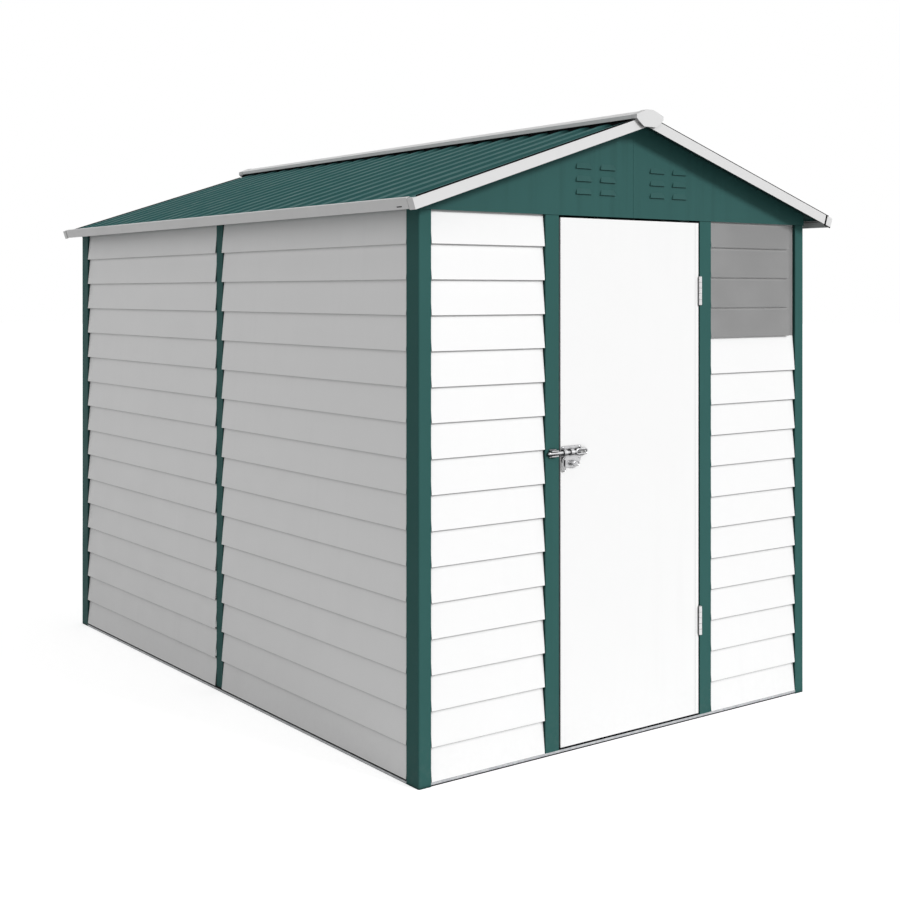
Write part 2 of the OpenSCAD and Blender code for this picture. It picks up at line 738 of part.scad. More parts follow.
// Leaf that stays on the jamb, with the outer and middle knuckles and the pin
module hinge_frame_leaves() {
    color(steel_grey) at_hinges() {
        difference() {
            union() {
                hinge_knuckles(0);
                hinge_leaf(1);
            }
            knuckle_room(1);
        }
        cylinder(d = pin_d, h = hinge_h);
    }
}
// Leaf that turns with the door, with the two knuckles between and a bore for the pin
module hinge_door_leaves() {
    color(steel_grey) at_hinges() difference() {
        union() {
            hinge_knuckles(1);
            hinge_leaf(-1);
        }
        knuckle_room(0);
        translate([0, 0, -EPS]) cylinder(d = pin_d + 2 * hinge_play, h = hinge_h + 2 * EPS);
    }
}

// ---------- Latch ----------
guide_in = bolt_d + 2 * bolt_play;
guide_out = guide_in + 2 * guide_t;
// Closed loop of round rod in the X-Z plane, with round ends and its long axis along X
module rod_loop(length, height, rod) {
    bend = (height - rod) / 2;
    half = (length - height) / 2;
    for (side = [0, 1]) mirror([side, 0, 0]) translate([half, 0, 0]) rotate([90, 0, 0])
        rotate([0, 0, -90]) rotate_extrude(angle = 180) translate([bend, 0]) circle(d = rod);
    for (z = [-bend, bend]) translate([-half, 0, z]) rotate([0, 90, 0]) cylinder(d = rod, h = 2 * half);
}
// Guide loop round the bolt, seen along the bolt, standing on a plate
module guide_plan() {
    difference() {
        union() {
            circle(d = guide_out);
            translate([-guide_out / 2, 0]) square([guide_out, guide_in / 2]);
        }
        circle(d = guide_in);
        translate([-guide_in / 2, 0]) square([guide_in, guide_out]);
    }
}
module guide(x) {
    translate([x, bolt_y, bolt_z]) rotate([0, 90, 0]) linear_extrude(guide_w) guide_plan();
}
// Latch plate: a wide head under the bolt and a narrower foot with slanted sides
module latch_plate_plan() {
    foot_in = (latch_w - latch_foot_w) / 2;
    polygon([[0, 0], [latch_w, 0], [latch_w, -latch_head_h], [latch_w - foot_in, -latch_h],
        [foot_in, -latch_h], [0, -latch_head_h]]);
}
module latch_plate() {
    eye_x = latch_x + latch_w / 2 + eye_l / 2 - eye_d;
    lug_x = latch_x + guide_inset + guide_w / 2;
    lug_l = 2 * link_d;
    link_top_z = bolt_z - link_drop + lug_d / 2 + link_d - link_bite;
    color(steel_grey) {
        translate([latch_x, -half_d, bolt_z + latch_above]) rotate([90, 0, 0]) linear_extrude(latch_t)
            latch_plate_plan();
        guide(latch_x + guide_inset);
        guide(latch_x + guide_inset + guide_pitch);
        // Padlock eye on its post
        translate([eye_x, latch_face - eye_out, bolt_z - eye_drop]) rod_loop(eye_l, eye_h, eye_d);
        translate([eye_x - (eye_l - eye_d) / 2, latch_face + EPS, bolt_z - eye_drop]) rotate([90, 0, 0])
            cylinder(d = lug_d, h = eye_out + EPS);
        // Link that hangs on its lug
        translate([lug_x, latch_face + EPS, bolt_z - link_drop]) rotate([90, 0, 0])
            cylinder(d = lug_d, h = lug_l + EPS);
        translate([lug_x, latch_face - link_d, link_top_z - link_l / 2]) rotate([0, 90, 0])
            rod_loop(link_l, link_w, link_d);
    }
}
// Keep on the jamb: a plate and two lips, open to the front so that the bolt can leave with the door
module latch_keep() {
    lip = latch_t + guide_in;
    color(steel_grey) translate([-door_open_w / 2 - keep_inset - keep_w, -half_d, bolt_z]) {
        for (side = [0, 1]) mirror([0, 0, side]) translate([0, -lip, guide_in / 2])
            cube([keep_w, lip, guide_t]);
        translate([0, -latch_t, -keep_plate_h / 2]) cube([keep_w, latch_t, keep_plate_h]);
    }
}
// Sliding bolt with a round nose and a loop handle
module latch_bolt() {
    color(steel_grey) translate([bolt_x, bolt_y, bolt_z]) {
        translate([bolt_d / 2, 0, 0]) {
            sphere(d = bolt_d);
            rotate([0, 90, 0]) cylinder(d = bolt_d, h = bolt_l - bolt_d / 2);
        }
        translate([bolt_l - loop_d / 2 + loop_l / 2, 0, 0]) rod_loop(loop_l, loop_h, loop_d);
    }
}

// ---------- Drawing ----------
base_rail_front();
base_rail_back();
base_rail_left();
base_rail_right();
corner_post_front_left();
corner_post_front_right();
corner_post_back_left();
corner_post_back_right();
side_post_left();
side_post_right();
back_post();
door_jamb_left();
door_jamb_right();
siding_front_left();
siding_front_right();
siding_left_front();
siding_left_back();
siding_right_front();
siding_right_back();
siding_back_left();
siding_back_right();
window_panel();
top_rail_front();
top_rail_back();
top_rail_left();
top_rail_right();
gable_front();
gable_back();
ridge_beam();
roof_purlins();
roof_sheet_left();
roof_sheet_right();
eave_trim_left();
eave_trim_right();
gable_trim_front_left();
gable_trim_front_right();
gable_trim_back_left();
gable_trim_back_right();
ridge_cap();
ridge_cap_ends();
door_leaf();
hinge_frame_leaves();
hinge_door_leaves();
latch_keep();
latch_plate();
latch_bolt();
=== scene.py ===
"""Looks of the metal garden shed: finishes, small pieces, floor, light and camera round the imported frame."""

import json
import math

import bmesh
import bpy
from mathutils import Matrix, Vector
from mathutils.bvhtree import BVHTree


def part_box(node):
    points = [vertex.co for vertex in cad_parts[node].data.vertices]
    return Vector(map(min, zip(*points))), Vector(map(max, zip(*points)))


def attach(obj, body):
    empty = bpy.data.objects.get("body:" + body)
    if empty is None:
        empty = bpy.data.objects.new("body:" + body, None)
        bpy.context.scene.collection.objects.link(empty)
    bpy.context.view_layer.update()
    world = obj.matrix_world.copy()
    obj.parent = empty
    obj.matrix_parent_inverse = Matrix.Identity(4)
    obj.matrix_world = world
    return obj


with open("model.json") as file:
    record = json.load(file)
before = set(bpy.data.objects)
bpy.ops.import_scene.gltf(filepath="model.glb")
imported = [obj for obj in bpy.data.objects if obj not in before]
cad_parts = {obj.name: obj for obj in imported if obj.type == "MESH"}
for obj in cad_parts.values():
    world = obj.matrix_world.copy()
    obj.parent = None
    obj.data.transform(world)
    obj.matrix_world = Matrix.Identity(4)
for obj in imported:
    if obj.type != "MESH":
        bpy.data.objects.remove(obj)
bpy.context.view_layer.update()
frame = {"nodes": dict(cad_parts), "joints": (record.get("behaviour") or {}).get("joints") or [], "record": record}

MM = 0.001
RECORD = frame["record"]
JOINTS = {joint["name"]: joint for joint in frame["joints"]}
SLOT_OF = {part["node"]: part["material_slot"] for part in RECORD["subparts"]}
RAIL_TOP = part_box("door_jamb_left")[0].z
LATCH_PLATE_T = 2.5 * MM
OUTWARD = (0, -1, 0)

# ---------- Colours, linear ----------
POST_GREEN = (0.0365, 0.112, 0.104)
GABLE_GREEN = (0.0284, 0.098, 0.092)
# Roof: its flats are a lighter green as painted sheen, and the rib flanks a darker green as painted shade.
ROOF_GREEN_AND_SHEEN = (0.037, 0.138, 0.134)
RIB_FLANK_SHADE = (0.0275, 0.090, 0.087)
# Vent ends: a lighter green painted as light on faces that lean to a side.
CHEEK_LIGHT_GREEN = (0.055, 0.165, 0.155)
PANEL_WHITE = (0.88, 0.88, 0.88)
TRIM_WHITE = (0.69, 0.69, 0.69)
# Ridge cap: a lighter copy of the trim white, painted as light.
CAP_LIT_WHITE = (0.78, 0.78, 0.78)
DUST = (0.34, 0.32, 0.29)
ZINC = (0.50, 0.51, 0.52)
SPANGLE = (0.38, 0.39, 0.41)
PLATED = (0.64, 0.64, 0.65)
# Hinges: a lighter copy of the plated zinc, painted as highlight.
HIGHLIT_ZINC = (0.84, 0.84, 0.85)
# Near-black painted shade under the hardware and where its parts meet.
HARDWARE_SHADE = (0.05, 0.05, 0.055)
WINDOW_GREY = (0.26, 0.26, 0.26)
# Black of the pieces put in gaps as painted shade.
SHADE_BLACK = (0.012, 0.012, 0.013)


# ---------- Shader helpers ----------
# Share of the sky that reaches a point: a fold counts as closed below the first and as open above the second.
CLOSED, OPEN = 0.40, 0.95


class Graph:
    """A new material with its Principled shader, and short calls that add the nodes it needs."""

    def __init__(self, name):
        self.material = bpy.data.materials.new(name)
        self.material.use_nodes = True
        self.tree = self.material.node_tree
        self.shader = self.tree.nodes["Principled BSDF"]
        place = self.tree.nodes.new("ShaderNodeTexCoord")
        self.coords = place.outputs["Object"]
        self.normal = place.outputs["Normal"]

    def add(self, kind, **settings):
        node = self.tree.nodes.new(kind)
        for key, value in settings.items():
            setattr(node, key, value)
        return node

    def link(self, output, target):
        self.tree.links.new(output, target)

    def stretched(self, scale):
        """Coordinates scaled by a number on each axis."""
        mapping = self.add("ShaderNodeMapping")
        mapping.inputs["Scale"].default_value = scale
        self.link(self.coords, mapping.inputs["Vector"])
        return mapping.outputs["Vector"]

    def noise(self, scale, detail=3.0, stretch=(1, 1, 1)):
        """Soft noise between 0 and 1, finer with a larger scale."""
        node = self.add("ShaderNodeTexNoise")
        node.inputs["Scale"].default_value = scale
        node.inputs["Detail"].default_value = detail
        self.link(self.stretched(stretch), node.inputs["Vector"])
        return node.outputs["Fac"]

    def ramp(self, value, low, high, to_low=0.0, to_high=1.0):
        """Smooth change from to_low to to_high while the value goes from low to high."""
        node = self.add("ShaderNodeMapRange", interpolation_type="SMOOTHSTEP")
        self.link(value, node.inputs["Value"])
        for name, number in zip(("From Min", "From Max", "To Min", "To Max"), (low, high, to_low, to_high)):
            node.inputs[name].default_value = number
        return node.outputs["Result"]

    def product(self, a, b):
        node = self.add("ShaderNodeMath", operation="MULTIPLY")
        self.link(a, node.inputs[0])
        self.link(b, node.inputs[1])
        return node.outputs["Value"]

    def mixed(self, factor, a, b):
        """Colour between a and b; each is a colour or another node's output."""
        node = self.add("ShaderNodeMix", data_type="RGBA")
        self.link(factor, node.inputs[0])
        for socket, colour in ((node.inputs[6], a), (node.inputs[7], b)):
            if isinstance(colour, tuple):
                socket.default_value = (*colour, 1)
            else:
                self.link(colour, socket)
        return node.outputs[2]

    def crevice(self, reach):
        """0 in folds and gaps narrower than the reach, 1 in the open."""
        node = self.add("ShaderNodeAmbientOcclusion", samples=8)
        node.inputs["Distance"].default_value = reach
        return self.ramp(node.outputs["AO"], CLOSED, OPEN)

    def part(self, vector, axis):
        """One part of a vector output."""
        node = self.add("ShaderNodeSeparateXYZ")
        self.link(vector, node.inputs["Vector"])
        return node.outputs[axis]

    def upward(self):
        """Height part of the surface direction: 1 on top, -1 underneath."""
        return self.part(self.normal, "Z")

    def leaning(self, axis):
        """How far the surface faces along an axis, either way: 0 not at all, 1 fully."""
        size = self.add("ShaderNodeMath", operation="ABSOLUTE")
        self.link(self.part(self.normal, axis), size.inputs[0])
        return size.outputs["Value"]

    def dimmed(self, colour, factor):
        """A node's colour times a number or another node's value."""
        node = self.add("ShaderNodeVectorMath", operation="SCALE")
        self.link(colour, node.inputs[0])
        if isinstance(factor, float):
            node.inputs["Scale"].default_value = factor
        else:
            self.link(factor, node.inputs["Scale"])
        return node.outputs["Vector"]

    def height(self):
        """Height of the shaded point above the ground, in metres."""
        return self.part(self.coords, "Z")

    def bump(self, layers):
        """Bump from (height output, strength, distance in metres) layers, one on top of the other."""
        below = None
        for height, strength, distance in layers:
            node = self.add("ShaderNodeBump")
            node.inputs["Strength"].default_value = strength
            node.inputs["Distance"].default_value = distance
            self.link(height, node.inputs["Height"])
            if below:
                self.link(below, node.inputs["Normal"])
            below = node.outputs["Normal"]
        self.link(below, self.shader.inputs["Normal"])

    def set(self, **values):
        """Constants of the Principled shader, with underscores for the spaces in their names."""
        for name, value in values.items():
            self.shader.inputs[name.replace("_", " ")].default_value = value


def scaled(colour, factor):
    """A constant colour times a number."""
    return tuple(part * factor for part in colour)


# ---------- Materials ----------
FOLD_REACH = 14 * MM
SPLASH_HEIGHT = 0.22
# Height up to which the painted shade in folds grows weaker.
FOLD_SHADE_HEIGHT = 1.2


def painted_steel(
    name, colour, roughness, specular, uneven=0.94, dust=0.10,
    fold_shade=0.55, fold_shade_low=None, flank_shade=None, cheek_light=None, underside_shade=1.0,
):
    """Coil-coated sheet: faint mottling and runs, orange peel, soft dents, dust low down, painted shade in folds.

    Uneven is what is left of the colour in the runs. The fold_shade and underside_shade are painted shade: what
    is left of the colour in the folds and underneath; fold_shade_low is fold_shade at the ground. The flank_shade
    is a darker colour painted as shade on faces that lean to the front or the back, such as the sides of the
    roof's ribs. The cheek_light is a lighter colour painted as light on faces that lean to a side, such as the
    vents' ends.
    """
    graph = Graph(name)
    mottle = graph.ramp(graph.noise(2.3, 4), 0.35, 0.65)
    runs = graph.ramp(graph.noise(5.0, 3, (7, 7, 0.35)), 0.45, 0.75)
    body = graph.mixed(mottle, scaled(colour, uneven), colour)
    body = graph.mixed(graph.product(runs, mottle), body, scaled(colour, 2 * uneven - 1))
    splash = graph.ramp(graph.height(), 0.0, SPLASH_HEIGHT, dust, 0.0)
    speckle = graph.ramp(graph.noise(60, 5), 0.40, 0.70)
    body = graph.mixed(graph.product(splash, speckle), body, DUST)
    # Painted shade: faces that lean to the front or back, such as rib flanks, take the darker flank colour.
    if flank_shade:
        body = graph.mixed(graph.ramp(graph.leaning("Y"), 0.15, 0.40), body, flank_shade)
    # Painted shade: colour darkened in folds and gaps, more so towards the ground.
    fold_shade_level = graph.ramp(graph.height(), 0.0, FOLD_SHADE_HEIGHT, fold_shade_low or fold_shade, fold_shade)
    body = graph.mixed(graph.crevice(FOLD_REACH), graph.dimmed(body, fold_shade_level), body)
    # Painted light: faces that lean to a side, such as the vents' ends, take the lighter cheek colour.
    if cheek_light:
        body = graph.mixed(graph.ramp(graph.leaning("X"), 0.15, 0.50), body, cheek_light)
    # Painted shade: faces that look down are darkened.
    if underside_shade < 1:
        body = graph.mixed(graph.ramp(graph.upward(), -0.9, -0.5), graph.dimmed(body, underside_shade), body)
    graph.link(body, graph.shader.inputs["Base Color"])
    graph.link(
        graph.ramp(graph.noise(11, 4), 0.3, 0.7, roughness - 0.05, roughness + 0.05),
        graph.shader.inputs["Roughness"],
    )
    graph.bump([
        (graph.noise(3.1, 2), 0.25, 2.0 * MM),
        (graph.noise(900, 2), 0.12, 0.06 * MM),
    ])
    graph.set(Specular_IOR_Level=specular)
    return graph.material


def galvanised_steel(name):
    """Galvanised sheet with its spangle and some dull bloom, with painted shade in its folds."""
    graph = Graph(name)
    cells = graph.add("ShaderNodeTexVoronoi")
    cells.inputs["Scale"].default_value = 90
    graph.link(graph.coords, cells.inputs["Vector"])
    spangle = graph.ramp(cells.outputs["Color"], 0.1, 0.9)
    bloom = graph.ramp(graph.noise(14, 5), 0.45, 0.75)
    body = graph.mixed(bloom, graph.mixed(spangle, SPANGLE, ZINC), scaled(ZINC, 0.9))
    # Painted shade: colour darkened in folds and gaps.
    body = graph.mixed(graph.crevice(FOLD_REACH), graph.dimmed(body, 0.60), body)
    graph.link(body, graph.shader.inputs["Base Color"])
    graph.link(graph.ramp(bloom, 0, 1, 0.42, 0.60), graph.shader.inputs["Roughness"])
    graph.bump([(spangle, 0.15, 0.05 * MM)])
    graph.set(Metallic=0.6)
    return graph.material


def plated_steel(name, colour, reach):
    """Zinc-plated hardware with fine rub marks, with painted shade underneath and where parts meet."""
    graph = Graph(name)
    rubs = graph.noise(160, 5, (1, 1, 6))
    body = graph.mixed(graph.ramp(rubs, 0.35, 0.65), scaled(colour, 0.85), colour)
    # Painted shade: dark underneath and in the gaps where parts meet.
    body = graph.mixed(graph.ramp(graph.upward(), -0.75, 0.25), HARDWARE_SHADE, body)
    body = graph.mixed(graph.crevice(reach), HARDWARE_SHADE, body)
    graph.link(body, graph.shader.inputs["Base Color"])
    graph.link(graph.ramp(rubs, 0.3, 0.7, 0.20, 0.34), graph.shader.inputs["Roughness"])
    graph.bump([(rubs, 0.10, 0.05 * MM)])
    graph.set(Metallic=0.9)
    return graph.material


def black_seal(name):
    """Matt black with open pores; the black pieces put in gaps as painted shade wear it."""
    graph = Graph(name)
    pores = graph.ramp(graph.noise(1400, 3), 0.35, 0.65)
    graph.link(graph.mixed(pores, scaled(SHADE_BLACK, 0.5), SHADE_BLACK), graph.shader.inputs["Base Color"])
    graph.bump([(pores, 0.4, 0.2 * MM)])
    graph.set(Roughness=0.95, Specular_IOR_Level=0.05)
    return graph.material


def window_sheet(name):
    """Tinted clear plastic sheet, slightly wavy, which lets the inside show, with painted light in its folds."""
    graph = Graph(name)
    haze = graph.ramp(graph.noise(6, 3), 0.3, 0.7)
    body = graph.mixed(haze, WINDOW_GREY, scaled(WINDOW_GREY, 1.08))
    # Painted light: colour brightened in folds, where the lap lines would show as shade.
    body = graph.mixed(graph.crevice(FOLD_REACH), graph.dimmed(body, 2.0), body)
    graph.link(body, graph.shader.inputs["Base Color"])
    graph.link(graph.ramp(haze, 0, 1, 0.16, 0.24), graph.shader.inputs["Roughness"])
    graph.bump([(graph.noise(9, 2), 0.20, 1.0 * MM)])
    graph.set(Alpha=0.86, IOR=1.49)
    return graph.material


MATERIALS = {
    "frame_paint": painted_steel("frame_paint", POST_GREEN, 0.46, 0.03, dust=0.03, fold_shade=0.25),
    "gable_paint": painted_steel(
        "gable_paint", GABLE_GREEN, 0.46, 0.10, dust=0.0, fold_shade=0.50, cheek_light=CHEEK_LIGHT_GREEN,
    ),
    "roof_paint": painted_steel(
        "roof_paint", ROOF_GREEN_AND_SHEEN, 0.50, 0.015, dust=0.0, flank_shade=RIB_FLANK_SHADE, underside_shade=0.25,
    ),
    "panel_paint": painted_steel(
        "panel_paint", PANEL_WHITE, 0.45, 0.30, uneven=0.994, dust=0.02, fold_shade=0.62, fold_shade_low=0.20,
    ),
    "trim_paint": painted_steel(
        "trim_paint", TRIM_WHITE, 0.45, 0.20, uneven=0.985, dust=0.0, fold_shade=0.75, underside_shade=0.15,
    ),
    "cap_lit_paint": painted_steel("cap_lit_paint", CAP_LIT_WHITE, 0.45, 0.20, uneven=0.985, dust=0.0, fold_shade=0.95),
    "galvanised": galvanised_steel("galvanised"),
    "hardware": plated_steel("hardware", PLATED, 12 * MM),
    "highlit_hardware": plated_steel("highlit_hardware", HIGHLIT_ZINC, 6 * MM),
    "window_sheet": window_sheet("window_sheet"),
    "black_seal": black_seal("black_seal"),
}
# Nodes whose finish differs a little from that of their slot.
VARIANTS = {
    # The gables take a finish with painted light on the vents' ends.
    "gable_front": "gable_paint",
    "gable_back": "gable_paint",
    # The ridge cap takes a lighter copy of the trim finish, painted as light, with less painted shade in its
    # folds.
    "ridge_cap": "cap_lit_paint",
    # The hinges take a lighter copy of the hardware finish, painted as highlight.
    "hinge_frame_leaves": "highlit_hardware",
    "hinge_door_leaves": "highlit_hardware",
}


def dress_frame():
    """Gives each CAD node its finish."""
    for node, piece in frame["nodes"].items():
        finish = VARIANTS.get(node, SLOT_OF[node])
        piece.data.materials.clear()
        piece.data.materials.append(MATERIALS[finish])


# ---------- Mesh helpers ----------
def new_piece(name, mesh, body, slot):
    """Makes an object of a finished mesh and lets it ride on a body."""
    data = bpy.data.meshes.new(name)
    mesh.to_mesh(data)
    mesh.free()
    data.materials.append(MATERIALS[slot])
    piece = bpy.data.objects.new(name, data)
    bpy.context.scene.collection.objects.link(piece)
    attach(piece, body)
    return piece


def facing(direction, origin):
    """Matrix that turns local +Z to a direction and moves the origin there."""
    return Matrix.Translation(origin) @ Vector(direction).to_track_quat("Z", "Y").to_matrix().to_4x4()


def add_turned(mesh, profile, place, sides=20, smooth=True):
    """Solid of revolution round local Z from (radius, height) points; an end radius of 0 closes it."""
    rings = []
    for radius, height in profile:
        if radius == 0:
            rings.append([mesh.verts.new(place @ Vector((0, 0, height)))])
            continue
        angles = [2 * math.pi * i / sides for i in range(sides)]
        points = [Vector((radius * math.cos(angle), radius * math.sin(angle), height)) for angle in angles]
        rings.append([mesh.verts.new(place @ point) for point in points])
    for low, high in zip(rings, rings[1:]):
        for i in range(sides):
            j = (i + 1) % sides
            corners = [low[i % len(low)], low[j % len(low)], high[j % len(high)], high[i % len(high)]]
            face = mesh.faces.new(list(dict.fromkeys(corners)))
            face.smooth = smooth


def dome(radius, height, steps=4):
    """Profile of a rivet head: a low dome on a flat back."""
    angles = [math.pi / 2 * i / steps for i in range(1, steps)]
    curve = [(radius * math.cos(angle), height * math.sin(angle)) for angle in angles]
    return [(0, 0), (radius, 0), *curve, (0, height)]


def rivets(name, places, direction, radius, height, body, slot):
    """One piece with a rivet head at each place."""
    mesh = bmesh.new()
    for place in places:
        add_turned(mesh, dome(radius, height), facing(direction, place))
    bmesh.ops.recalc_face_normals(mesh, faces=mesh.faces)
    return new_piece(name, mesh, body, slot)


STRIP_FACES = ((0, 1, 3, 2), (4, 6, 7, 5), (0, 4, 5, 1), (2, 3, 7, 6), (0, 2, 6, 4), (1, 5, 7, 3))
AXES = (Vector((1, 0, 0)), Vector((0, 1, 0)), Vector((0, 0, 1)))


def add_strip(mesh, spans, axes=AXES):
    """Rectangular strip: on each of three axes it runs over a span, which is a pair of distances."""
    corners = [
        mesh.verts.new(axes[0] * a + axes[1] * b + axes[2] * c)
        for a in spans[0] for b in spans[1] for c in spans[2]
    ]
    for face in STRIP_FACES:
        mesh.faces.new([corners[i] for i in face])


def shade_piece(name, mesh, rounding=0.0):
    """Ends a black piece put in a gap as painted shade, with its edges rounded."""
    bmesh.ops.recalc_face_normals(mesh, faces=mesh.faces)
    if rounding:
        bmesh.ops.bevel(mesh, geom=mesh.edges[:], offset=rounding, segments=2, affect="EDGES")
    new_piece(name, mesh, "shed", "black_seal")


def world_points(node):
    """Corners of a CAD node's mesh, in the shared frame."""
    piece = frame["nodes"][node]
    return [piece.matrix_world @ vertex.co for vertex in piece.data.vertices]


def surface(node):
    """Search tree of a CAD node's faces, for finding its surface along a line."""
    faces = [face.vertices for face in frame["nodes"][node].data.polygons]
    return BVHTree.FromPolygons(world_points(node), faces)


def meets(tree, origin, direction):
    """Point where a line from the origin first meets a searched surface."""
    return tree.ray_cast(Vector(origin), Vector(direction))[0]


def z_groups(node, apart=0.2):
    """Lowest and highest height of each separate stretch of a node, such as one hinge."""
    groups = []
    for z in sorted(point.z for point in world_points(node)):
        if groups and z - groups[-1][1] < apart:
            groups[-1][1] = z
        else:
            groups.append([z, z])
    return groups


# ---------- Small pieces ----------
def latch_rivets():
    """Rivet heads that hold the latch plate to the door."""
    low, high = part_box("latch_plate")
    bar_z = sum(corner.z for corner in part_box("latch_bolt")) / 2
    face_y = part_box("door_leaf")[0].y - LATCH_PLATE_T
    left, right = low.x + 6 * MM, high.x - 6 * MM
    rivets(
        "latch_rivets",
        [(left, face_y, bar_z + 14 * MM), (right, face_y, bar_z + 14 * MM), (right, face_y, bar_z - 18 * MM)],
        OUTWARD, 3.2 * MM, 1.6 * MM, "door", "hardware",
    )


def hinge_pin_heads():
    """Domed heads at both ends of each hinge pin."""
    x, y = JOINTS["door_hinge"]["pos_m"][:2]
    mesh = bmesh.new()
    for low, high in z_groups("hinge_frame_leaves"):
        add_turned(mesh, dome(4.2 * MM, 2.2 * MM), facing((0, 0, 1), (x, y, high)))
        add_turned(mesh, dome(4.2 * MM, 2.2 * MM), facing((0, 0, -1), (x, y, low)))
    bmesh.ops.recalc_face_normals(mesh, faces=mesh.faces)
    new_piece("hinge_pin_heads", mesh, "shed", "hardware")


def ridge_shade_strips():
    """Black strips under both sides of the ridge cap, cut to the ribs of the roof sheets, as painted shade in the
    gap under the cap.
    """
    cap = surface("ridge_cap")
    thick, inset, play = 6 * MM, 13 * MM, 0.3 * MM
    for side, node in ((-1, "roof_sheet_left"), (1, "roof_sheet_right")):
        roof = surface(node)
        x = side * (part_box("ridge_cap")[1].x - inset)
        low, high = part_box(node)
        stations = sorted({round(point.y, 5) for point in world_points(node)})
        stations = [max(low.y + play, min(high.y - play, y)) for y in stations]
        mesh = bmesh.new()
        rows = []
        for y in stations:
            row = []
            for edge in (x, x + side * thick):
                bottom = meets(roof, (edge, y, high.z + 0.5), (0, 0, -1)).z + play
                top = meets(cap, (edge, y, bottom), (0, 0, 1)).z - play
                row += [mesh.verts.new((edge, y, bottom)), mesh.verts.new((edge, y, top))]
            rows.append(row)
        for near, far in zip(rows, rows[1:]):
            for i, j in ((0, 1), (1, 3), (3, 2), (2, 0)):
                mesh.faces.new((near[i], near[j], far[j], far[i]))
        for row in (rows[0], rows[-1]):
            mesh.faces.new((row[0], row[1], row[3], row[2]))
        shade_piece(node.replace("roof_sheet", "ridge_shade_strip"), mesh)


def jamb_gap_shade():
    """Black strips in the gaps beside the hinges and under the door, and on the stops of both jambs, as painted
    shade in those gaps.
    """
    low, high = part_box("door_leaf")
    front, back = low.y, high.y
    thick, clear, stop_foam = 1.2 * MM, 2 * MM, (2 * MM, 12 * MM)
    jamb_low, jamb_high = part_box("door_jamb_right")
    opening = 2 * JOINTS["door_hinge"]["pos_m"][0] - high.x
    heights = [jamb_low.z + clear]
    for bottom, top in z_groups("hinge_frame_leaves"):
        heights += [bottom - clear, top + clear]
    heights.append(jamb_high.z - clear)
    mesh = bmesh.new()
    for bottom, top in zip(heights[::2], heights[1::2]):
        add_strip(mesh, ((opening - thick, opening), (front + clear, back), (bottom, top)))
    reach = opening - 3 * MM
    sill = (front + 1.5 * MM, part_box("base_rail_front")[1].y - 1 * MM)
    add_strip(mesh, ((-reach, reach), sill, (RAIL_TOP + 0.1 * MM, low.z - 0.5 * MM)))
    for side in (-1, 1):
        stop = sorted(side * (opening - depth) for depth in stop_foam)
        add_strip(mesh, (stop, (back + 3 * MM, jamb_high.y - clear), (heights[0], heights[-1])))
    shade_piece("jamb_gap_shade", mesh)


def door_hems():
    """Flattened hems that show through the door skin along its two upright edges."""
    low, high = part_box("door_leaf")
    mesh = bmesh.new()
    proud, wide, inset = 0.5 * MM, 14 * MM, 1 * MM
    for start in (low.x + inset, high.x - inset - wide):
        add_strip(mesh, ((start, start + wide), (low.y - proud, low.y), (low.z + inset, high.z - inset)))
    bmesh.ops.bevel(mesh, geom=mesh.edges[:], offset=0.4 * MM, segments=2, affect="EDGES")
    new_piece("door_hems", mesh, "door", "panel_paint")


def gable_seams():
    """Lapped joint of the two gable sheets, a little right of the middle as seen from outside."""
    left, right, proud, head = 3 * MM, 26 * MM, 0.6 * MM, 24 * MM
    for name, outward in (("gable_front", -1), ("gable_back", 1)):
        low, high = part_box(name)
        outside = (low.y if outward < 0 else high.y) + outward * 0.1
        skin = meets(surface(name), (0, outside, low.z + 20 * MM), (0, -outward, 0)).y
        wide = sorted((-outward * left, -outward * right))
        deep = sorted((skin, skin + outward * proud))
        mesh = bmesh.new()
        add_strip(mesh, (wide, deep, (low.z + 1 * MM, high.z - head)))
        bmesh.ops.bevel(mesh, geom=mesh.edges[:], offset=0.5 * MM, segments=2, affect="EDGES")
        seam = new_piece(name + "_seam", mesh, "shed", "frame_paint")
        seam.data.materials[0] = MATERIALS["gable_paint"]


def rail_recess_shade():
    """Black strips in the recesses of the base rails, where they meet the ground and the siding, as painted shade.
    """
    mesh = bmesh.new()
    deep, thick, play, tall = 4 * MM, 1.5 * MM, 0.3 * MM, 5 * MM
    for node, inward in (("base_rail_front", 1), ("base_rail_back", -1)):
        low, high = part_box(node)
        outer = low.y if inward > 0 else high.y
        depth = sorted((outer + inward * (deep - thick), outer + inward * deep))
        add_strip(mesh, ((low.x + play, high.x - play), depth, (play, tall - play)))
    for node, inward in (("base_rail_left", 1), ("base_rail_right", -1)):
        low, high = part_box(node)
        outer = low.x if inward > 0 else high.x
        depth = sorted((outer + inward * (deep - thick), outer + inward * deep))
        add_strip(mesh, (depth, (low.y + play, high.y - play), (RAIL_TOP - tall + 1 * MM, RAIL_TOP)))
    shade_piece("rail_recess_shade", mesh)


def slope_frame(node):
    """Axes of a roof part, from its longest sloping edge: down the slope, along the shed, out of the roof."""
    points = world_points(node)
    down = Vector()
    for edge in frame["nodes"][node].data.edges:
        first, second = (points[i] for i in edge.vertices)
        run = second - first
        slopes = abs(run.y) < 0.1 * MM and abs(run.x) > 0.1
        if slopes and run.length > down.length:
            down = run
    down = down.normalized() * (-1 if down.z > 0 else 1)
    return down, AXES[1], Vector((-down.z * math.copysign(1, down.x), 0, abs(down.x)))


def spread(points, direction):
    """Least and greatest distance of some points along a direction."""
    values = [point.dot(direction) for point in points]
    return min(values), max(values)


